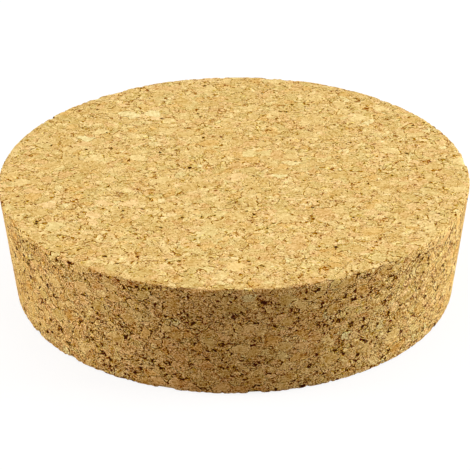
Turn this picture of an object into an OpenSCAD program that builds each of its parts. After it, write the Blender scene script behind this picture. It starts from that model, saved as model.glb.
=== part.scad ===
// Large tapered stopper pressed from agglomerated cork, for the mouth of a wide jar or crock.
// It is one piece, and it stands on its small end. Z runs up its axis from the centre of the small face.
// The side is a straight taper, and both rims are sanded to a small round.

/* [Ends] */
// Diameter of the wide top face, measured to the sharp corner
top_d = 118; // [60:0.5:200]
// Diameter of the small bottom face, measured to the sharp corner
bottom_d = 112; // [50:0.5:195]

/* [Length] */
// Height from the bottom face to the top face
height = 30; // [15:0.5:60]

/* [Sanded rims] */
// Radius of the round on the top rim
top_rim_r = 0.5; // [0.2:0.1:3]
// Radius of the round on the bottom rim
bottom_rim_r = 0.5; // [0.2:0.1:3]

/* [Hidden] */

// Facets round the stopper and round each rim's section
body_facets = 180;
rim_facets = 64;

top_r = top_d / 2;
bottom_r = bottom_d / 2;
// Angle between the side and the axis
taper_a = atan((top_r - bottom_r) / height);
// Inside angles of the two corners of the section
top_corner_a = 90 - taper_a;
bottom_corner_a = 90 + taper_a;
// Distance from each corner to where its round meets the face and the side
top_cut = top_rim_r / tan(top_corner_a / 2);
bottom_cut = bottom_rim_r / tan(bottom_corner_a / 2);

// Point on the slanted side, at a distance up it from the bottom corner
function up_side(s) = [bottom_r + s * sin(taper_a), s * cos(taper_a)];
side_length = height / cos(taper_a);

// Half of the stopper's section, from the axis out to the slanted side
module half_section() {
    polygon([
        [0, 0],
        [bottom_r - bottom_cut, 0],
        up_side(bottom_cut),
        up_side(side_length - top_cut),
        [top_r - top_cut, height],
        [0, height]
    ]);
    translate([bottom_r - bottom_cut, bottom_rim_r])
        circle(r = bottom_rim_r, $fn = rim_facets);
    translate([top_r - top_cut, height - top_rim_r])
        circle(r = top_rim_r, $fn = rim_facets);
}

module stopper() {
    color("burlywood")
        rotate_extrude($fn = body_facets)
            half_section();
}

stopper();
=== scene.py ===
"""Dresses the CAD stopper as pressed cork: every granule, seam, gap and chipped rim, on a pale floor."""
import math

import bpy
import numpy as np
from mathutils import Matrix, Vector


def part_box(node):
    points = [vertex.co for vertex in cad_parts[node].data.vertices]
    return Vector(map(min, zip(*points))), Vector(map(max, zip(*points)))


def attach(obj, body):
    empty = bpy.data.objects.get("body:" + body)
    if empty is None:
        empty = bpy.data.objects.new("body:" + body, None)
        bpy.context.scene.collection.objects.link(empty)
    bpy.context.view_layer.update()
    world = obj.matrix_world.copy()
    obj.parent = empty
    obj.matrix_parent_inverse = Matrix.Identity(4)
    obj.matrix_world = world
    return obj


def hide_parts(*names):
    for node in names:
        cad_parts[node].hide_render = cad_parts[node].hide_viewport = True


bl_info = {
    "name": "Pressed cork stopper",
    "version": (1, 0, 0),
    "blender": (4, 5, 0),
    "location": "3D View > Sidebar > Cork stopper",
    "description": "Builds a tapered stopper of pressed cork granules and the stage that it stands on",
    "category": "Object",
}

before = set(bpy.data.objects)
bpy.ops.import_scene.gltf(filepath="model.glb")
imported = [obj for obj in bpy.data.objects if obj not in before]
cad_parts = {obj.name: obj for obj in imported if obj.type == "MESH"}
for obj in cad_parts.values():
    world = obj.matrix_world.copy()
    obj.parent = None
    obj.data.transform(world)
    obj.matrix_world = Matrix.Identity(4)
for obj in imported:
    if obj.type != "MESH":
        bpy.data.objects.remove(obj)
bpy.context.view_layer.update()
NODE = "stopper"
BODY = "root"

MM = 0.001


def solid_side(node):
    """The slanted side's lower and upper ends as (radius, height).
    The side is the widest gap between the rings of points of the solid."""
    rings = {}
    for vertex in node.data.vertices:
        height = round(vertex.co.z, 6)
        rings[height] = max(rings.get(height, 0), math.hypot(vertex.co.x, vertex.co.y))
    heights = sorted(rings)
    low, high = max(zip(heights, heights[1:]), key=lambda pair: pair[1] - pair[0])
    return (rings[low], low), (rings[high], high)


def solid_sizes():
    """Height of the solid, and its radii where the slanted side would meet the two faces."""
    low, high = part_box(NODE)
    (r1, z1), (r2, z2) = solid_side(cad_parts[NODE])
    slope = (r2 - r1) / (z2 - z1)
    return high.z - low.z, r1 - slope * (z1 - low.z), r2 + slope * (high.z - z2)


HEIGHT, BOTTOM_RADIUS, TOP_RADIUS = solid_sizes()


# ---------------------------------------------------------------- settings

def length(name, description, default):
    return bpy.props.FloatProperty(
        name=name, description=description, default=default, unit="LENGTH", precision=5)


def number(name, description, default):
    return bpy.props.FloatProperty(name=name, description=description, default=default, precision=3)


def count(name, description, default):
    return bpy.props.IntProperty(name=name, description=description, default=default, min=2)


def colour(name, description, default):
    return bpy.props.FloatVectorProperty(
        name=name, description=description, default=default, subtype="COLOR", size=3, min=0, max=1)


def angle(name, description, degrees):
    return bpy.props.FloatProperty(
        name=name, description=description, default=math.radians(degrees), subtype="ANGLE")


class StopperBody(bpy.types.PropertyGroup):
    """Sizes of the cork body and of its relief."""
    top_radius: length("Top radius", "Radius of the wide face at its sharp corner", TOP_RADIUS)
    bottom_radius: length("Bottom radius", "Radius of the small face at its sharp corner", BOTTOM_RADIUS)
    height: length("Height", "Distance between the two faces", HEIGHT)
    rim_radius: length("Rim radius", "Sanded round on both rims", 0.5 * MM)
    cells_across: count("Cells across", "Mesh cells across each face", 170)
    cells_up: count("Cells up", "Mesh cells up the side", 52)
    relief: length("Relief", "Most that one granule stands lower than its neighbour", 0.07 * MM)
    pore_depth: length("Pore depth", "Depth of the gaps between granules", 0.4 * MM)
    rim_wear: length("Rim wear", "Most that crumbs have broken off the rims", 0.38 * MM)


class CorkGrain(bpy.types.PropertyGroup):
    """Sizes and colours of the pressed granules."""
    coarse: length("Coarse granule", "Mean size of the coarsest granules", 3.4 * MM)
    middle: length("Middle granule", "Mean size of the middle granules", 2.3 * MM)
    fine: length("Fine granule", "Mean size of the finest granules", 1.3 * MM)
    flake: length("Flake", "Mean length of the flakes that make up a granule", 2.0 * MM)
    crumb: length("Crumb", "Mean distance between the finest crumbs and pits", 0.45 * MM)
    tan: colour("Tan", "Colour of most granules", (0.757, 0.554, 0.219))
    pale: colour("Pale", "Colour of the palest granules", (0.785, 0.576, 0.250))
    rosy: colour("Rosy", "Colour of the pinkest granules", (0.783, 0.534, 0.228))
    olive: colour("Olive", "Colour of the greenest granules", (0.711, 0.544, 0.211))
    amber: colour("Amber", "Colour of the warmest granules", (0.773, 0.518, 0.183))
    grey: colour("Grey", "Colour of the few weathered granules", (0.730, 0.630, 0.300))
    side_tint: colour("Side tint", "Tint of the turned side against the faces", (0.995, 0.973, 0.90))
    # the gap colour is the darkest colour anywhere: the bark flecks' own dark, and painted shade at the
    # bottom of gaps
    gap: colour("Gap", "Colour at the bottom of gaps, and of bark flecks", (0.05, 0.008, 0.0005))


class StageSettings(bpy.types.PropertyGroup):
    """Floor and camera."""
    floor_size: length("Floor size", "Width of the floor", 1.6)
    camera_distance: length("Camera distance", "From the lens to the aim point", 0.4673)
    camera_height: angle("Camera height", "Angle of the camera above the floor", 28.6)
    camera_roll: angle("Camera roll", "Turn of the camera about its own axis", 0.48)
    focal_length: number("Focal length", "In millimetres on a 36 mm sensor", 142.4)


# ---------------------------------------------------------------- node wiring

class Wiring:
    """Adds nodes to a shader or geometry tree. An input is a number, a vector or another node's output."""

    def __init__(self, tree):
        self.tree = tree

    def add(self, kind, inputs=None, **settings):
        node = self.tree.nodes.new(kind)
        for name, value in settings.items():
            setattr(node, name, value)
        for name, value in (inputs or {}).items():
            self.feed(node.inputs[name], value)
        return node

    def feed(self, socket, value):
        if isinstance(value, bpy.types.NodeSocket):
            self.tree.links.new(value, socket)
        else:
            socket.default_value = value

    def maths(self, operation, *values):
        return self.add("ShaderNodeMath", dict(enumerate(values)), operation=operation).outputs[0]

    def vector(self, operation, *values, out=0, scale=None):
        node = self.add("ShaderNodeVectorMath", dict(enumerate(values)), operation=operation)
        if scale is not None:
            self.feed(node.inputs["Scale"], scale)
        return node.outputs[out]

    def split(self, vector):
        return self.add("ShaderNodeSeparateXYZ", {0: vector}).outputs

    def join(self, x, y, z):
        return self.add("ShaderNodeCombineXYZ", {0: x, 1: y, 2: z}).outputs[0]

    def between(self, value, low, high, to_low=0.0, to_high=1.0, smooth=True):
        """value carried from low..high to to_low..to_high, and held at the ends."""
        kind = "SMOOTHSTEP" if smooth else "LINEAR"
        inputs = {"Value": value, "From Min": low, "From Max": high, "To Min": to_low, "To Max": to_high}
        return self.add("ShaderNodeMapRange", inputs, interpolation_type=kind, clamp=True).outputs["Result"]

    def blend(self, share, a, b):
        """a where share is 0, b where it is 1."""
        return self.add("ShaderNodeMix", {0: share, 2: a, 3: b}, data_type="FLOAT").outputs[0]

    def pick(self, share, a, b):
        """The same for vectors."""
        return self.add("ShaderNodeMix", {0: share, 4: a, 5: b}, data_type="VECTOR").outputs[1]

    def tint(self, share, a, b):
        """The same for colours."""
        node = self.add("ShaderNodeMix", {0: share}, data_type="RGBA")
        for socket, value in ((node.inputs[6], a), (node.inputs[7], b)):
            self.feed(socket, value if isinstance(value, bpy.types.NodeSocket) else (*value, 1.0))
        return node.outputs[2]

    def noise(self, place, scale, detail=2.0, roughness=0.5, out="Fac"):
        inputs = {"Vector": place, "Scale": scale, "Detail": detail, "Roughness": roughness}
        return self.add("ShaderNodeTexNoise", inputs, noise_dimensions="3D").outputs[out]

    def cells(self, place, size, feature="F1"):
        """The node that makes random cells of that mean size."""
        return self.add("ShaderNodeTexVoronoi", {"Vector": place, "Scale": 1.0 / size, "Randomness": 1.0},
                        voronoi_dimensions="3D", feature=feature)


# ---------------------------------------------------------------- cork grain

class Grain:
    """The pressed granules round a place: the same pattern for the mesh and for its colour.

    Lengths here are in millimetres. A pair holds the value on the faces, and the value on the turned side."""

    # how many times the granules are squeezed along x, y and z
    PRESSED = (0.95, 1.05, 1.25)
    # granules are bent out of shape by a noise of this scale and reach
    BEND_SCALE = 0.8
    BEND_REACH = 1.5
    # shares of the coarse and of the middle granules that stay whole
    COARSE_WHOLE = 0.3
    MIDDLE_WHOLE = 0.5
    # further away than any seam
    FAR = 9.0

    # scale of the slow noise that opens seams, and how much it counts beside a seam's own chance
    SEAM_PATCHES = 1.4
    SEAM_PATCH_SHARE = 1.6
    # a seam starts to show above this sum of the two, and shows in full this much higher
    SEAM_ABOVE = (1.56, 1.54)
    SEAM_FADE = 0.3
    # its line is at full strength once the seam shows this far
    SEAM_FULL = 0.3
    # half width of a seam that hardly shows, and of one that shows in full
    SEAM_NARROW = 0.10
    SEAM_WIDE = (0.19, 0.22)

    # scale of the slower noise that opens pores
    PORE_PATCHES = 0.85
    # a pore opens above this value of it, and is widest this much higher
    PORE_ABOVE = (0.76, 0.75)
    PORE_FADE = 0.05
    # half width of the widest pores, and width of their soft edge
    PORE_HALF = (0.38, 0.45)
    PORE_EDGE = 0.12

    # mean distance between places for a pit, and the chance above which there is one
    PIT_APART = 1.5
    PIT_ABOVE = (0.87, 0.76)
    # half widths of the smallest and of the largest pits, and width of their soft edge
    PIT_SMALLEST = (0.12, 0.15)
    PIT_LARGEST = (0.31, 0.40)
    PIT_EDGE = 0.1
    # how fast a pit closes along its seam, and across it
    PIT_ALONG = (0.55, 0.42)
    PIT_ACROSS = (1.0, 1.8)

    # distances from a seam at which the darker border beside it ends and is full, and how far the seam shows
    # by then
    SEAM_BORDER_DARKENING = (0.32, 0.12)
    SEAM_BORDER_DARKENING_FULL = 0.5
    # how far the darker border round a pit reaches, and its strength
    PIT_BORDER_DARKENING = 0.16
    PIT_BORDER_DARKENING_SHARE = 0.6

    def __init__(self, wiring, place, flank, grain):
        w = self.wiring = wiring
        self.flank = flank
        squashed = w.vector("MULTIPLY", place, self.PRESSED)
        bend = w.vector("SUBTRACT", w.noise(squashed, self.BEND_SCALE, 1.0, 0.5, "Color"), (0.5, 0.5, 0.5))
        self.place = w.vector("MULTIPLY_ADD", bend, (self.BEND_REACH,) * 3, squashed)
        coarse, middle, fine = [self.level(size / MM) for size in (grain.coarse, grain.middle, grain.fine)]
        broken = w.maths("GREATER_THAN", w.split(coarse["chance"])[0], self.COARSE_WHOLE)
        middle_broken = w.maths("GREATER_THAN", w.split(middle["chance"])[0], self.MIDDLE_WHOLE)
        crumbled = w.maths("MULTIPLY", broken, middle_broken)
        self.larger = w.pick(broken, coarse["chance"], middle["chance"])
        self.chance = w.pick(crumbled, self.larger, fine["chance"])
        self.seam_distance, self.seam_chance = coarse["edge"], coarse["seam_chance"]
        for split_up, level in ((broken, middle), (crumbled, fine)):
            away = w.maths("ADD", level["edge"], w.blend(split_up, self.FAR, 0.0))
            nearer = w.maths("LESS_THAN", away, self.seam_distance)
            self.seam_chance = w.blend(nearer, self.seam_chance, level["seam_chance"])
            self.seam_distance = w.maths("MINIMUM", self.seam_distance, away)

    def level(self, size):
        """One size of granule: its random numbers, the distance to its seam, and that seam's chance."""
        w = self.wiring
        nearest = w.cells(self.place, size).outputs["Color"]
        second = w.cells(self.place, size, "F2").outputs["Color"]
        edge = w.cells(self.place, size, "DISTANCE_TO_EDGE").outputs["Distance"]
        seam_chance = w.maths("FRACT", w.maths("ADD", w.split(nearest)[1], w.split(second)[1]))
        return {"chance": nearest, "edge": w.maths("MULTIPLY", edge, size), "seam_chance": seam_chance}

    def here(self, pair):
        """The pair's first value on the faces, and its second on the side."""
        return self.wiring.blend(self.flank, *pair)

    def patches(self, scale):
        """A slow noise that says where seams and pores open."""
        return self.wiring.noise(self.place, scale, 2.0, 0.5)

    def seam_showing(self):
        """How far each seam shows, from 0 to 1."""
        w = self.wiring
        opened = w.maths("MULTIPLY_ADD", self.patches(self.SEAM_PATCHES), self.SEAM_PATCH_SHARE,
                         self.seam_chance)
        low = self.here(self.SEAM_ABOVE)
        return w.between(opened, low, w.maths("ADD", low, self.SEAM_FADE), smooth=False)

    def seams(self, showing):
        """1 along the glue lines where they are widest, fading to nothing in places. Their dark colour is
        partly the glue's own and partly painted shade in the gap between granules.
        """
        w = self.wiring
        width = w.between(showing, 0.0, 1.0, self.SEAM_NARROW, self.here(self.SEAM_WIDE), smooth=False)
        line = w.between(self.seam_distance, width, w.maths("MULTIPLY", width, 0.5))
        return w.maths("MULTIPLY", line, w.between(showing, 0.0, self.SEAM_FULL))

    def pores(self):
        """1 in the widest gaps between granules, more of them on the turned side."""
        w = self.wiring
        low = self.here(self.PORE_ABOVE)
        half = w.between(self.patches(self.PORE_PATCHES), low, w.maths("ADD", low, self.PORE_FADE),
                         0.0, self.here(self.PORE_HALF), smooth=False)
        return w.between(w.maths("SUBTRACT", half, self.seam_distance), 0.0, self.PORE_EDGE)

    def pits(self):
        """1 in the small pits strung along the seams, and 1 beside them."""
        w = self.wiring
        spots = w.cells(self.place, self.PIT_APART)
        chance = w.split(spots.outputs["Color"])[0]
        rare = self.here(self.PIT_ABOVE)
        half = w.between(chance, rare, 1.0, self.here(self.PIT_SMALLEST), self.here(self.PIT_LARGEST),
                         smooth=False)
        there = w.maths("GREATER_THAN", chance, rare)
        along = w.maths("MULTIPLY", spots.outputs["Distance"],
                        self.here([share * self.PIT_APART for share in self.PIT_ALONG]))
        across = w.maths("MULTIPLY", self.seam_distance, self.here(self.PIT_ACROSS))
        inside = w.maths("SUBTRACT", half, w.maths("MAXIMUM", along, across))
        pit = w.maths("MULTIPLY", there, w.between(inside, 0.0, self.PIT_EDGE))
        return pit, w.maths("MULTIPLY", there, w.between(inside, -self.PIT_BORDER_DARKENING, 0.0))

    def border_darkening(self, showing, beside_pit):
        """1 beside the seams and pits that show, fading out into the granule, where the colour is made
        darker.
        """
        w = self.wiring
        far, near = self.SEAM_BORDER_DARKENING
        by_seam = w.maths("MULTIPLY", w.between(self.seam_distance, far, near),
                          w.between(showing, 0.0, self.SEAM_BORDER_DARKENING_FULL))
        return w.maths("MAXIMUM", by_seam, w.maths("MULTIPLY", beside_pit, self.PIT_BORDER_DARKENING_SHARE))


# ---------------------------------------------------------------- cork material

# display values are linear values to the power 1 / DISPLAY
DISPLAY = 2.2


def shown(colour_value):
    """A linear colour as display values."""
    return tuple(value ** (1 / DISPLAY) for value in colour_value)


class CorkSurface:
    """The colour, roughness and fine bump of pressed cork.

    Tones are added up as display values, so that a dark seam or gap turns a deep brown instead of grey.
    Lengths here are in millimetres. A pair holds the value on the faces, and the value on the turned side."""

    # how far red, green and blue follow a tone (with the painted highlight on the lips), a dark gap (partly
    # painted shade), a seam on the faces and on the side (partly painted shade), and the darker border beside
    # seams and pits
    TONE_SHARES = (0.82, 1.14, 1.32)
    DARK_SHARES = (-0.90, -1.08, -2.80)
    SEAM_SHARES = (-0.80, -0.98, -2.50)
    SIDE_SEAM_SHARES = (-0.66, -0.96, -2.60)
    BORDER_DARKENING_SHARES = (-0.30, -0.54, -1.80)

    # chances at which a granule starts to take on each colour, and at which it has it
    PALE_CHANCES = (0.4, 1.0)
    ROSY_CHANCES = (0.74, 0.88)
    OLIVE_CHANCES = (0.32, 0.2)
    AMBER_CHANCES = (0.12, 0.04)
    GREY_CHANCES = (0.965, 0.98)
    # how much of the grey a weathered granule takes on
    GREY_SHARE = (0.5, 1.0)
    # how far granules differ in hue
    HUE_SHARE = (0.8, 0.85)

    # few granules are pale: their chance is raised to this power, and this is the middle of the result
    GRANULE_POWER = (3.0, 1.7)
    GRANULE_MIDDLE = (0.25, 0.37)
    # strength of each tone
    GRANULE_TONE = (0.105, 0.100)
    FLAKE_TONE = (0.08, 0.10)
    RING_TONE = (0.05, 0.06)
    GRIT_TONE = (0.31, 0.74)
    SPECK_TONE = (0.20, 0.44)
    # the lip's tone is a painted highlight on the raised edge beside each seam
    LIP_HIGHLIGHT_TONE = (0.22, 0.52)
    # about what the painted highlight on the lip comes to on average
    LIP_HIGHLIGHT_MIDDLE = 0.1
    # pale tones are held back the more, the higher this is
    SHOULDER = 4.5

    # how dark each dark mark is, the pores and pits partly with painted shade in their depth, and the darkest
    # that they get together
    FLECK_DARK = (0.42, 0.55)
    PORE_DARK_AND_SHADE = (0.60, 1.10)
    PIT_DARK_AND_SHADE = (0.85, 1.05)
    DARKEST = (0.85, 0.95)
    # a seam's dark is partly its own and partly painted shade in the gap between granules
    SEAM_DARK_AND_SHADE = (0.34, 0.78)
    BORDER_DARKENING_DEPTH = (0.12, 0.17)

    # scale, detail and roughness of the mottle
    MOTTLE = (1.6, 4.0, 0.7)
    # over this range of the mottle the surface's roughness runs over this one
    MOTTLE_RANGE = (0.3, 0.7)
    ROUGHNESS_RANGE = (0.95, 0.75)
    # cork has hardly any sheen
    SHEEN = 0.06

    # the bark's yearly rings
    RINGS = {"Scale": 0.3, "Distortion": 3.0, "Detail": 2.0, "Detail Scale": 1.2, "Detail Roughness": 0.6}

    # flakes and bark flecks are drawn out along x
    FLAKE_SQUEEZE = (1.0, 2.2, 2.8)
    FLECK_SQUEEZE = (0.7, 1.2, 1.8)
    # mean distance between places for a fleck, and the chance above which there is one
    FLECK_APART = 1.4
    FLECK_ABOVE = 0.84
    # radii of the smallest and of the largest flecks, and width of their soft edge
    FLECK_RADII = (0.22, 0.45)
    FLECK_EDGE = 0.08

    # the lip's painted highlight rises from 0 to 1 and falls again over these distances from the seam
    LIP_HIGHLIGHT_RISE = (0.13, 0.19)
    LIP_HIGHLIGHT_FALL = (0.26, 0.38)

    # distances from the middle of a finest crumb or pit at which it ends and is full
    SPECK_RADII = (0.18, 0.06)
    # tone of the darkest of them, and how much paler the palest are
    SPECK_LOWEST = -1.15
    SPECK_RANGE = 2.0
    GRIT_SCALE = 3.6
    # grit and specks are stronger close to a seam than far inside a granule, over these distances
    GRIT_REACH = (0.25, 0.9)
    GRIT_AT_SEAM = 1.25
    GRIT_INSIDE = (0.4, 0.45)

    # heights in the fine bump
    SEAM_BUMP = -0.08
    PORE_BUMP = -0.35
    MOTTLE_BUMP = 0.05
    FLAKE_BUMP = 0.03

    def __init__(self, grain):
        self.grain = grain
        self.material = bpy.data.materials.new("pressed_cork")
        self.material.use_nodes = True
        tree = self.material.node_tree
        tree.nodes.clear()
        w = self.wiring = Wiring(tree)
        rest = w.add("ShaderNodeAttribute", attribute_name="rest_place").outputs["Vector"]
        self.flank = w.add("ShaderNodeAttribute", attribute_name="flank").outputs["Fac"]
        self.cork = Grain(w, w.vector("SCALE", rest, scale=1 / MM), self.flank, grain)
        self.here = self.cork.here
        self.mottle = w.noise(self.cork.place, *self.MOTTLE)
        self.flakes = self.flake_chances()
        self.fleck = self.flecks()
        self.seam_showing = self.cork.seam_showing()
        self.seam = self.cork.seams(self.seam_showing)
        self.pore = self.cork.pores()
        self.pit, self.beside_pit = self.cork.pits()
        surface = w.add("ShaderNodeBsdfPrincipled", {
            "Base Color": self.colour(), "Roughness": self.roughness(),
            "Specular IOR Level": self.SHEEN, "Normal": self.bump()})
        w.add("ShaderNodeOutputMaterial", {"Surface": surface.outputs[0]})

    def roughness(self):
        """Dull, with slightly smoother patches."""
        return self.wiring.between(self.mottle, *self.MOTTLE_RANGE, *self.ROUGHNESS_RANGE)

    def flake_chances(self):
        """Random numbers of the flake at each spot. The flakes of one granule all lie one way."""
        w = self.wiring
        turn = w.vector("SCALE", self.cork.chance, scale=2 * math.pi)
        self.turned = w.add("ShaderNodeVectorRotate", {"Vector": self.cork.place, "Rotation": turn},
                            rotation_type="EULER_XYZ").outputs[0]
        stretched = w.vector("MULTIPLY", self.turned, self.FLAKE_SQUEEZE)
        return w.split(w.cells(stretched, self.grain.flake / MM).outputs["Color"])

    def flecks(self):
        """1 in small dark slivers of bark."""
        w = self.wiring
        slivers = w.cells(w.vector("MULTIPLY", self.turned, self.FLECK_SQUEEZE), self.FLECK_APART)
        away = w.maths("MULTIPLY", slivers.outputs["Distance"], self.FLECK_APART)
        chance = w.split(slivers.outputs["Color"])[0]
        there = w.maths("GREATER_THAN", chance, self.FLECK_ABOVE)
        radius = w.between(chance, self.FLECK_ABOVE, 1.0, *self.FLECK_RADII, smooth=False)
        inside = w.maths("SUBTRACT", w.maths("MULTIPLY", radius, there), away)
        return w.between(inside, 0.0, self.FLECK_EDGE)

    def hue(self):
        """The granule's own colour, as display values."""
        w, grain = self.wiring, self.grain
        tone, warmth, age = w.split(self.cork.larger)
        body = w.tint(w.between(tone, *self.PALE_CHANCES), grain.tan, grain.pale)
        for shade, chances in ((grain.rosy, self.ROSY_CHANCES), (grain.olive, self.OLIVE_CHANCES),
                               (grain.amber, self.AMBER_CHANCES)):
            body = w.tint(w.between(warmth, *chances), body, shade)
        weathered = w.between(age, *self.GREY_CHANCES, 0.0, self.here(self.GREY_SHARE))
        body = w.tint(weathered, body, grain.grey)
        middle = shown(grain.tan)
        odd = w.vector("SUBTRACT", w.vector("POWER", body, (1 / DISPLAY,) * 3), middle)
        odd = w.vector("SCALE", odd, scale=self.here(self.HUE_SHARE))
        side = shown([a * b for a, b in zip(grain.tan, grain.side_tint)])
        return w.vector("ADD", odd, w.pick(self.flank, middle, side))

    def rings(self):
        """The bark's yearly rings, cut through at each granule's own angle."""
        return self.wiring.add("ShaderNodeTexWave", {"Vector": self.turned, **self.RINGS}, wave_type="BANDS",
                               bands_direction="X", wave_profile="SIN").outputs["Fac"]

    def lip_highlight(self):
        """1 on the raised lip just inside a granule's seam, where a painted highlight makes the colour paler.
        """
        w, away = self.wiring, self.cork.seam_distance
        full, end = self.LIP_HIGHLIGHT_FALL
        lip_highlight = w.maths("MULTIPLY", w.between(away, *self.LIP_HIGHLIGHT_RISE), w.between(away, end, full))
        return w.maths("MULTIPLY", lip_highlight, self.seam_showing)

    def specks(self):
        """Below 0 in the finest pits, above 0 on the finest crumbs, and 0 between them."""
        w, apart = self.wiring, self.grain.crumb / MM
        cells = w.cells(self.cork.place, apart)
        near = w.between(w.maths("MULTIPLY", cells.outputs["Distance"], apart), *self.SPECK_RADII)
        chance = w.split(cells.outputs["Color"])[1]
        height = w.maths("MULTIPLY_ADD", chance, self.SPECK_RANGE, self.SPECK_LOWEST)
        return w.maths("MULTIPLY", height, near)

    def total(self, parts):
        """The sum of strength * (value - middle)."""
        w, total = self.wiring, 0.0
        for value, middle, strength in parts:
            total = w.maths("MULTIPLY_ADD", w.maths("SUBTRACT", value, middle), strength, total)
        return total

    def tone(self):
        """What is added to the display value of the granule's own colour. Pale tones are held back."""
        w, here = self.wiring, self.here
        granule = w.maths("POWER", w.split(self.cork.chance)[2], here(self.GRANULE_POWER))
        grit = w.noise(self.cork.place, self.GRIT_SCALE, 0.0)
        rough = w.between(self.cork.seam_distance, *self.GRIT_REACH,
                          self.GRIT_AT_SEAM, here(self.GRIT_INSIDE))
        total = self.total((
            (granule, here(self.GRANULE_MIDDLE), here(self.GRANULE_TONE)),
            (self.flakes[1], 0.5, here(self.FLAKE_TONE)),
            (self.rings(), 0.5, here(self.RING_TONE)),
            (grit, 0.5, w.maths("MULTIPLY", rough, here(self.GRIT_TONE))),
            (self.specks(), 0.0, w.maths("MULTIPLY", rough, here(self.SPECK_TONE))),
            # a painted highlight on the raised lip beside each seam that shows
            (self.lip_highlight(), self.LIP_HIGHLIGHT_MIDDLE, here(self.LIP_HIGHLIGHT_TONE)),
        ))
        held = w.maths("EXPONENT", w.maths("MULTIPLY", total, -self.SHOULDER))
        return w.maths("DIVIDE", w.maths("SUBTRACT", 1.0, held), self.SHOULDER)

    def dark(self):
        """How dark the gaps, pits and bark slivers are: the slivers' own dark, and in the gaps and pits
        partly their own dark and partly painted shade.
        """
        total = self.total((
            (self.fleck, 0.0, self.here(self.FLECK_DARK)),
            (self.pore, 0.0, self.here(self.PORE_DARK_AND_SHADE)),
            # the pits have no depth in the mesh, so their dark is partly painted shade
            (self.pit, 0.0, self.here(self.PIT_DARK_AND_SHADE)),
        ))
        return self.wiring.maths("MINIMUM", total, self.here(self.DARKEST))

    def colour(self):
        """The granule's colour with its tone, dark marks, seam and the darker border beside seams and pits,
        as a linear colour. The tone holds a painted highlight on the seams' lips, and the dark marks and
        seams are partly painted shade.
        """
        w = self.wiring
        tone, dark = self.tone(), self.dark()
        # the seam's dark is partly painted shade in the gap between granules
        seam = w.maths("MULTIPLY", self.seam, self.here(self.SEAM_DARK_AND_SHADE))
        seam_shares = w.pick(self.flank, self.SEAM_SHARES, self.SIDE_SEAM_SHARES)
        border_darkening = self.cork.border_darkening(self.seam_showing, self.beside_pit)
        border_darkening = w.maths("MULTIPLY", border_darkening, self.here(self.BORDER_DARKENING_DEPTH))
        toned = self.hue()
        for strength, shares in ((tone, self.TONE_SHARES), (dark, self.DARK_SHARES),
                                 (seam, seam_shares), (border_darkening, self.BORDER_DARKENING_SHARES)):
            toned = w.vector("MULTIPLY_ADD", w.join(strength, strength, strength), shares, toned)
        # no colour goes darker than the gap colour, which is partly painted shade at the bottom of gaps
        return w.vector("POWER", w.vector("MAXIMUM", toned, shown(self.grain.gap)), (DISPLAY,) * 3)

    def bump(self):
        """The relief that is too fine for the mesh."""
        height = self.total((
            (self.seam, 0.0, self.SEAM_BUMP),
            (self.pore, 0.0, self.PORE_BUMP),
            (self.mottle, 0.0, self.MOTTLE_BUMP),
            (self.flakes[2], 0.0, self.FLAKE_BUMP),
        ))
        inputs = {"Height": height, "Distance": MM, "Strength": 1.0}
        return self.wiring.add("ShaderNodeBump", inputs).outputs[0]


# ---------------------------------------------------------------- body mesh by geometry nodes

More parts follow.
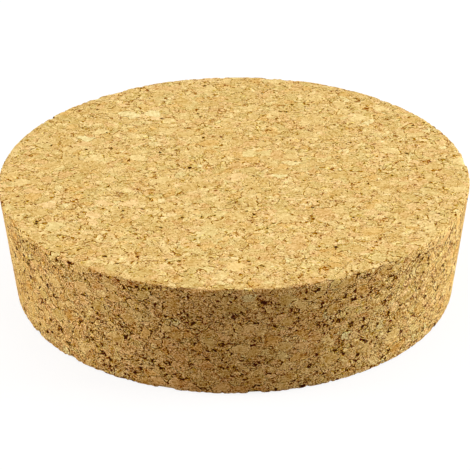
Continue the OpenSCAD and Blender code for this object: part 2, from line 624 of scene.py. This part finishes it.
class BodyTree:
    """A geometry tree that turns a cube of quads into the tapered body and presses the grain into it."""

    SIZES = ("Top radius", "Bottom radius", "Height", "Rim radius", "Relief", "Pore depth", "Rim wear")
    COUNTS = ("Cells across", "Cells up")

    # mesh cells are drawn this many cells closer to a rim, fading out over this many
    RIM_PULL = 2.4
    RIM_REACH = 3.0
    # the upright part of a normal is below the first on the side, and above the second on a face
    SIDE_AND_FACE = (0.3, 0.95)
    # decides which coordinate leads on the diagonals of the square
    TIE = 1e-6

    # rims are worn within the first distance of their corner, and worn most within the second
    WORN_ZONE = (1.4 * MM, 0.2 * MM)
    # chances at which a whole granule starts to be lost at a rim, and at which it is
    LOST_CHANCES = (0.80, 0.86)
    # other crumbs go as a noise of this scale rises over this range
    CRUMBLY_SCALE = 0.75
    CRUMBLY_RANGE = (0.45, 0.75)

    def __init__(self, grain, material):
        self.tree = bpy.data.node_groups.new("tapered_cork_body", "GeometryNodeTree")
        self.sockets = {}
        self.add_socket("Geometry", "NodeSocketGeometry", in_out="OUTPUT")
        self.add_socket("Geometry", "NodeSocketGeometry")
        for name in self.SIZES:
            self.sockets[name] = self.add_socket(name, "NodeSocketFloat")
        for name in self.COUNTS:
            self.sockets[name] = self.add_socket(name, "NodeSocketInt")
        w = self.wiring = Wiring(self.tree)
        self.given = w.add("NodeGroupInput").outputs
        self.build(grain, material)

    def add_socket(self, name, kind, in_out="INPUT"):
        return self.tree.interface.new_socket(name, in_out=in_out, socket_type=kind)

    def build(self, grain, material):
        w, given = self.wiring, self.given
        across = w.maths("ADD", given["Cells across"], 1.0)
        up = w.maths("ADD", given["Cells up"], 1.0)
        cube = w.add("GeometryNodeMeshCube", {
            "Size": (2.0, 2.0, 1.0), "Vertices X": across, "Vertices Y": across, "Vertices Z": up})
        spot = w.add("GeometryNodeInputPosition").outputs[0]
        shell = w.add("GeometryNodeSetPosition", {
            "Geometry": cube.outputs["Mesh"], "Position": self.body_place(spot)})
        smooth = w.add("GeometryNodeSetShadeSmooth", {"Geometry": shell.outputs[0], "Shade Smooth": True})
        place = w.add("GeometryNodeInputPosition").outputs[0]
        normal = w.add("GeometryNodeInputNormal").outputs[0]
        upright = w.maths("ABSOLUTE", w.split(normal)[2])
        flank = w.between(upright, *self.SIDE_AND_FACE, 1.0, 0.0)
        placed = self.store(smooth.outputs[0], "rest_place", "FLOAT_VECTOR", place)
        marked = self.store(placed, "flank", "FLOAT", flank)
        offset = self.press(grain, place, normal, flank)
        pressed = w.add("GeometryNodeSetPosition", {"Geometry": marked, "Offset": offset})
        whole = w.add("GeometryNodeRealizeInstances", {"Geometry": pressed.outputs[0]})
        dressed = w.add("GeometryNodeSetMaterial", {"Geometry": whole.outputs[0], "Material": material})
        w.add("NodeGroupOutput", {0: dressed.outputs[0]})

    def store(self, geometry, name, data_type, value):
        w = self.wiring
        node = w.add("GeometryNodeStoreNamedAttribute", {"Geometry": geometry, "Name": name},
                     data_type=data_type, domain="POINT")
        w.feed(node.inputs["Value"], value)
        return node.outputs[0]

    def eased(self, share, cells):
        """Distance from a rim as a share of the whole run, with mesh cells drawn close to the rim.
        share runs from 0 at the rim to 1, over that many cells."""
        w = self.wiring
        steps = w.maths("MULTIPLY", share, cells)
        pull = w.maths("EXPONENT", w.maths("DIVIDE", steps, -self.RIM_REACH))
        drawn = w.maths("MULTIPLY_ADD", w.maths("SUBTRACT", 1.0, pull), -self.RIM_PULL, steps)
        return w.maths("DIVIDE", drawn, w.maths("SUBTRACT", cells, self.RIM_PULL))

    def disc_direction(self, x, y):
        """A point of the square face carried to a disc in even rings."""
        w = self.wiring
        past_tie = w.maths("ADD", w.maths("ABSOLUTE", x), self.TIE)
        wide = w.maths("GREATER_THAN", past_tie, w.maths("ABSOLUTE", y))
        major, minor = w.blend(wide, y, x), w.blend(wide, x, y)
        turn = w.maths("MULTIPLY", w.maths("DIVIDE", minor, major), math.pi / 4)
        ahead = w.maths("MULTIPLY", major, w.maths("COSINE", turn))
        aside = w.maths("MULTIPLY", major, w.maths("SINE", turn))
        return w.blend(wide, aside, ahead), w.blend(wide, ahead, aside)

    def body_place(self, spot):
        """Where a point of the cube goes on the tapered body with its two rounded rims."""
        w, given = self.wiring, self.given
        x, y, z = w.split(spot)
        ring = w.maths("MAXIMUM", w.maths("ABSOLUTE", x), w.maths("ABSOLUTE", y))
        disc_x, disc_y = self.disc_direction(x, y)
        rings = w.maths("MULTIPLY", given["Cells across"], 0.5)
        reach = w.maths("SUBTRACT", 1.0, self.eased(w.maths("SUBTRACT", 1.0, ring), rings))
        half_up = w.maths("MULTIPLY", given["Cells up"], 0.5)
        to_end = w.maths("SUBTRACT", 1.0, w.maths("MULTIPLY", w.maths("ABSOLUTE", z), 2.0))
        near_end = w.maths("SUBTRACT", 1.0, self.eased(to_end, half_up))
        rise = w.maths("MULTIPLY_ADD", w.maths("MULTIPLY", near_end, w.maths("SIGN", z)), 0.5, 0.5)
        radius = w.maths("MULTIPLY", reach, self.widest(rise))
        tall = w.maths("MULTIPLY", rise, given["Height"])
        for rim in self.rim_centres():
            radius, tall = self.rounded(radius, tall, *rim)
        turn = w.maths("DIVIDE", radius, ring)
        return w.join(w.maths("MULTIPLY", disc_x, turn), w.maths("MULTIPLY", disc_y, turn), tall)

    def widest(self, rise):
        """Radius of the taper at that share of the height."""
        return self.wiring.blend(rise, self.given["Bottom radius"], self.given["Top radius"])

    def rim_centres(self):
        """For each rim, the centre of its round in the section, and the reach of the round along the face."""
        w, given = self.wiring, self.given
        spread = w.maths("SUBTRACT", given["Top radius"], given["Bottom radius"])
        lean = w.maths("ARCTANGENT", w.maths("DIVIDE", spread, given["Height"]))
        round_r = given["Rim radius"]
        found = []
        for corner_r, corner_z, sign in ((given["Top radius"], given["Height"], -1.0),
                                         (given["Bottom radius"], 0.0, 1.0)):
            corner = w.maths("MULTIPLY_ADD", lean, 0.5 * sign, math.pi / 4)
            cut = w.maths("DIVIDE", round_r, w.maths("TANGENT", corner))
            centre_r = w.maths("SUBTRACT", corner_r, cut)
            centre_z = w.maths("MULTIPLY_ADD", round_r, sign, corner_z)
            found.append((corner_r, corner_z, centre_r, centre_z, cut))
        return found

    def away(self, radius, tall, other_r, other_z):
        """The way in the section from another point to this one."""
        w = self.wiring
        return w.join(w.maths("SUBTRACT", radius, other_r), w.maths("SUBTRACT", tall, other_z), 0.0)

    def rounded(self, radius, tall, corner_r, corner_z, centre_r, centre_z, cut):
        """A point of the sharp section, moved onto the round if it lies within cut of that corner."""
        w = self.wiring
        off_corner = w.vector("LENGTH", self.away(radius, tall, corner_r, corner_z), out=1)
        near = w.maths("LESS_THAN", off_corner, cut)
        arm_r, arm_z, _ = w.split(w.vector("NORMALIZE", self.away(radius, tall, centre_r, centre_z)))
        on_round_r = w.maths("MULTIPLY_ADD", arm_r, self.given["Rim radius"], centre_r)
        on_round_z = w.maths("MULTIPLY_ADD", arm_z, self.given["Rim radius"], centre_z)
        return w.blend(near, radius, on_round_r), w.blend(near, tall, on_round_z)

    def press(self, grain, place, normal, flank):
        """How far each point is pushed in: granule relief, pores and worn rims."""
        w, given = self.wiring, self.given
        place_mm = w.vector("SCALE", place, scale=1 / MM)
        cork = Grain(w, place_mm, flank, grain)
        low = w.maths("MULTIPLY", w.split(cork.chance)[1], given["Relief"])
        gap = w.maths("MULTIPLY", cork.pores(), given["Pore depth"])
        lost = w.between(w.split(cork.chance)[2], *self.LOST_CHANCES)
        crumbly = w.between(w.noise(place_mm, self.CRUMBLY_SCALE, 2.0), *self.CRUMBLY_RANGE)
        at_rim = w.between(self.off_rim(place), *self.WORN_ZONE)
        chip = w.maths("MULTIPLY", at_rim, w.maths("MAXIMUM", crumbly, lost))
        worn = w.maths("MULTIPLY", chip, given["Rim wear"])
        depth = w.maths("ADD", w.maths("ADD", low, worn), gap)
        return w.vector("SCALE", normal, scale=w.maths("MULTIPLY", depth, -1.0))

    def off_rim(self, place):
        """Distance from the nearer rim's sharp corner."""
        w, given = self.wiring, self.given
        x, y, tall = w.split(place)
        from_end = w.maths("MINIMUM", tall, w.maths("SUBTRACT", given["Height"], tall))
        out = w.vector("LENGTH", w.join(x, y, 0.0), out=1)
        from_side = w.maths("SUBTRACT", self.widest(w.maths("DIVIDE", tall, given["Height"])), out)
        return w.vector("LENGTH", w.join(from_end, from_side, 0.0), out=1)

    def on(self, thing, values):
        """Puts the tree on an object as a modifier with those values, by socket identifier."""
        modifier = thing.modifiers.new("cork_body", "NODES")
        modifier.node_group = self.tree
        for name, socket in self.sockets.items():
            modifier[socket.identifier] = values[name]
        return modifier


def plain_mesh(thing, modifier):
    """Turns what the modifier makes into the object's own mesh, and takes the modifier off."""
    thing.data.update_tag()
    bpy.context.view_layer.update()
    evaluated = thing.evaluated_get(bpy.context.evaluated_depsgraph_get())
    mesh = bpy.data.meshes.new_from_object(evaluated)
    thing.modifiers.remove(modifier)
    thing.data = mesh
    mesh.name = thing.name


# ---------------------------------------------------------------- unwrapping

# the map's layout, in pixels of a sheet this wide: middle and radius of each disc, and the side's four strips
SHEET = 1024.0
TOP_DISC = (324.0, 324.0, 318.0)
BOTTOM_DISC = (834.0, 190.0, 184.0)
STRIPS_ABOVE = 660.0
STRIP_WIDTH = 502.0
STRIP_HEIGHT = 168.0
EDGE = 6.0
QUARTER = math.pi / 2


def quads_of(mesh):
    """Corner places of each quad, before the grain was pressed in."""
    points = np.empty(len(mesh.vertices) * 3, np.float32)
    mesh.attributes["rest_place"].data.foreach_get("vector", points)
    corners = np.empty(len(mesh.loops), np.int32)
    mesh.loops.foreach_get("vertex_index", corners)
    return points.reshape(-1, 3)[corners].reshape(-1, 4, 3)


def unwrap(mesh, body):
    """A map to bake fine finishes to: each face as a disc, and the side as four strips."""
    quads = quads_of(mesh)
    centre = quads.mean(axis=1)
    rise = centre[:, 2] / body.height
    widest = body.bottom_radius + (body.top_radius - body.bottom_radius) * rise
    from_side = widest - np.hypot(centre[:, 0], centre[:, 1])
    top = (body.height - centre[:, 2]) < from_side
    bottom = centre[:, 2] < from_side
    uv = np.empty((*quads.shape[:2], 2))
    for chosen, radius, (middle_u, middle_v, reach) in (
            (top, body.top_radius, TOP_DISC), (bottom, body.bottom_radius, BOTTOM_DISC)):
        uv[chosen, :, 0] = middle_u + quads[chosen, :, 0] / radius * reach
        uv[chosen, :, 1] = middle_v + quads[chosen, :, 1] / radius * reach
    side = ~(top | bottom)
    way = np.arctan2(centre[:, 1], centre[:, 0])
    quarter = np.round(way / QUARTER).astype(int) % 4
    for strip in range(4):
        chosen = side & (quarter == strip)
        turn = np.arctan2(quads[chosen, :, 1], quads[chosen, :, 0]) - strip * QUARTER
        turn = (turn + math.pi) % (2 * math.pi) - math.pi
        left = EDGE + (strip % 2) * (STRIP_WIDTH + 2 * EDGE)
        low = STRIPS_ABOVE + (strip // 2) * (STRIP_HEIGHT + 2 * EDGE)
        uv[chosen, :, 0] = left + (turn / QUARTER + 0.5) * STRIP_WIDTH
        uv[chosen, :, 1] = low + quads[chosen, :, 2] / body.height * STRIP_HEIGHT
    layer = mesh.uv_layers.new(name="OFBake")
    layer.data.foreach_set("uv", (uv / SHEET).astype(np.float32).reshape(-1))


# ---------------------------------------------------------------- stage

# how bright the floor looks without lamps, and how much of their light and shadow the camera sees on it
FLOOR_GLOW = 0.86
FLOOR_FAINT = 0.16
# how much light the floor throws back at the stopper
FLOOR_DULL = 0.26
# the floor lies this far under the stopper
FLOOR_DROP = 0.05 * MM
# even light from all round
AMBIENT = 0.01

WHITE = (1.0, 1.0, 1.0)
WARM = (1.0, 0.62, 0.36)
# name, place in metres, width and height in metres, power in watts, colour
LAMPS = (
    ("overhead", (0.0, 0.1, 1.2), (1.0, 1.0), 6.65, WHITE),
    ("left", (-1.0, 0.0, 0.35), (0.6, 0.6), 10.5, WHITE),
    ("right", (1.0, 0.0, 0.35), (0.6, 0.6), 12.3, WHITE),
    ("back", (0.9, 0.45, 0.35), (0.6, 0.6), 3.2, WHITE),
    ("front_left", (-0.75, -0.65, 0.35), (0.6, 0.6), 2.65, WARM),
    ("front_right", (0.75, -0.65, 0.35), (0.6, 0.6), 1.45, WARM),
)
LAMP_AIM = Vector((0.0, 0.0, 0.015))

CAMERA_AIM = Vector((0.00014, -0.00769, 0.01592))
SENSOR = 36.0
NEAREST_SEEN = 0.01
FURTHEST_SEEN = 50.0


def cleared(tree):
    """Wiring for an emptied node tree."""
    tree.nodes.clear()
    return Wiring(tree)


def grey(value):
    return (value, value, value, 1.0)


def looked_at(w):
    """1 for what the camera sees, also in a mirror or through glass, and 0 for light that falls on things."""
    ray = w.add("ShaderNodeLightPath").outputs
    indirectly = w.maths("MAXIMUM", ray["Is Glossy Ray"], ray["Is Transmission Ray"])
    return w.maths("MAXIMUM", ray["Is Camera Ray"], indirectly)


def floor_material():
    """Pale floor that keeps a faint shadow: white to the camera, and dull to the light that falls on it."""
    material = bpy.data.materials.new("pale_floor")
    material.use_nodes = True
    w = cleared(material.node_tree)
    glow = w.add("ShaderNodeEmission", {"Color": grey(1.0), "Strength": FLOOR_GLOW})
    faint = w.add("ShaderNodeBsdfDiffuse", {"Color": grey(FLOOR_FAINT)})
    white = w.add("ShaderNodeAddShader", {0: glow.outputs[0], 1: faint.outputs[0]})
    dull = w.add("ShaderNodeBsdfDiffuse", {"Color": grey(FLOOR_DULL)})
    both = w.add("ShaderNodeMixShader", {0: looked_at(w), 1: dull.outputs[0], 2: white.outputs[0]})
    w.add("ShaderNodeOutputMaterial", {"Surface": both.outputs[0]})
    return material


def add_floor(stage):
    half = stage.floor_size / 2
    mesh = bpy.data.meshes.new("floor")
    corners = [(-half, -half, -FLOOR_DROP), (half, -half, -FLOOR_DROP),
               (half, half, -FLOOR_DROP), (-half, half, -FLOOR_DROP)]
    mesh.from_pydata(corners, [], [(0, 1, 2, 3)])
    mesh.materials.append(floor_material())
    floor = bpy.data.objects.new("floor", mesh)
    bpy.context.scene.collection.objects.link(floor)


def surroundings():
    """White where the camera sees past the floor, and a low even light everywhere else."""
    world = bpy.data.worlds.new("pale_studio")
    world.use_nodes = True
    w = cleared(world.node_tree)
    even = w.add("ShaderNodeBackground", {"Color": grey(1.0), "Strength": AMBIENT})
    white = w.add("ShaderNodeBackground", {"Color": grey(1.0), "Strength": 1.0})
    both = w.add("ShaderNodeMixShader", {0: looked_at(w), 1: even.outputs[0], 2: white.outputs[0]})
    w.add("ShaderNodeOutputWorld", {"Surface": both.outputs[0]})
    bpy.context.scene.world = world


def aimed(place, aim):
    """A transform at place whose -Z axis points at aim."""
    turn = (Vector(aim) - Vector(place)).to_track_quat("-Z", "Y")
    return Matrix.Translation(place) @ turn.to_matrix().to_4x4()


def add_lamps():
    for name, place, (width, tall), power, lamp_colour in LAMPS:
        lamp = bpy.data.lights.new(name, "AREA")
        lamp.shape = "RECTANGLE"
        lamp.size = width
        lamp.size_y = tall
        lamp.energy = power
        lamp.color = lamp_colour
        thing = bpy.data.objects.new(name, lamp)
        thing.matrix_world = aimed(place, LAMP_AIM)
        bpy.context.scene.collection.objects.link(thing)


def add_camera(stage):
    camera = bpy.data.cameras.new("camera")
    camera.sensor_width = SENSOR
    camera.lens = stage.focal_length
    camera.clip_start = NEAREST_SEEN
    camera.clip_end = FURTHEST_SEEN
    thing = bpy.data.objects.new("camera", camera)
    up = stage.camera_height
    back = Vector((0.0, -math.cos(up), math.sin(up)))
    upright = Vector((0.0, math.sin(up), math.cos(up)))
    turn = Matrix((Vector((1.0, 0.0, 0.0)), upright, back)).transposed().to_4x4()
    roll = Matrix.Rotation(-stage.camera_roll, 4, "Z")
    thing.matrix_world = Matrix.Translation(CAMERA_AIM + back * stage.camera_distance) @ turn @ roll
    bpy.context.scene.collection.objects.link(thing)
    bpy.context.scene.camera = thing


# ---------------------------------------------------------------- operators and panel

class CORK_OT_stopper(bpy.types.Operator):
    """Builds the cork body in place of the plain solid"""
    bl_idname = "cork.stopper"
    bl_label = "Build the stopper"

    def execute(self, context):
        body, grain = context.scene.stopper_body, context.scene.cork_grain
        thing = bpy.data.objects.new("stopper_cork", bpy.data.meshes.new("stopper_cork"))
        context.scene.collection.objects.link(thing)
        tree = BodyTree(grain, CorkSurface(grain).material)
        modifier = tree.on(thing, {
            "Top radius": body.top_radius, "Bottom radius": body.bottom_radius, "Height": body.height,
            "Rim radius": body.rim_radius, "Relief": body.relief, "Pore depth": body.pore_depth,
            "Rim wear": body.rim_wear, "Cells across": body.cells_across, "Cells up": body.cells_up})
        plain_mesh(thing, modifier)
        if not thing.data.polygons:
            raise RuntimeError("the stopper's tree made no mesh")
        unwrap(thing.data, body)
        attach(thing, BODY)
        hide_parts(NODE)
        return {"FINISHED"}


class CORK_OT_stage(bpy.types.Operator):
    """Lays the floor, hangs the lamps and sets the camera"""
    bl_idname = "cork.stage"
    bl_label = "Set the stage"

    def execute(self, context):
        stage = context.scene.cork_stage
        add_floor(stage)
        surroundings()
        add_lamps()
        add_camera(stage)
        context.scene.view_settings.view_transform = "Standard"
        return {"FINISHED"}


class CORK_PT_panel(bpy.types.Panel):
    """Lists the steps that build the stopper and its stage"""
    bl_idname = "CORK_PT_panel"
    bl_label = "Cork stopper"
    bl_space_type = "VIEW_3D"
    bl_region_type = "UI"
    bl_category = "Cork stopper"

    def draw(self, context):
        for settings in (context.scene.stopper_body, context.scene.cork_grain, context.scene.cork_stage):
            box = self.layout.box()
            for name in settings.__annotations__:
                box.prop(settings, name)
        self.layout.operator(CORK_OT_stopper.bl_idname)
        self.layout.operator(CORK_OT_stage.bl_idname)


GROUPS = {"stopper_body": StopperBody, "cork_grain": CorkGrain, "cork_stage": StageSettings}
PARTS = (CORK_OT_stopper, CORK_OT_stage, CORK_PT_panel)


def register():
    for name, group in GROUPS.items():
        bpy.utils.register_class(group)
        setattr(bpy.types.Scene, name, bpy.props.PointerProperty(type=group))
    for part in PARTS:
        bpy.utils.register_class(part)


def unregister():
    for part in reversed(PARTS):
        bpy.utils.unregister_class(part)
    for name, group in GROUPS.items():
        delattr(bpy.types.Scene, name)
        bpy.utils.unregister_class(group)


def main():
    register()
    bpy.ops.cork.stopper()
    bpy.ops.cork.stage()


if __name__ == "__main__":
    main()
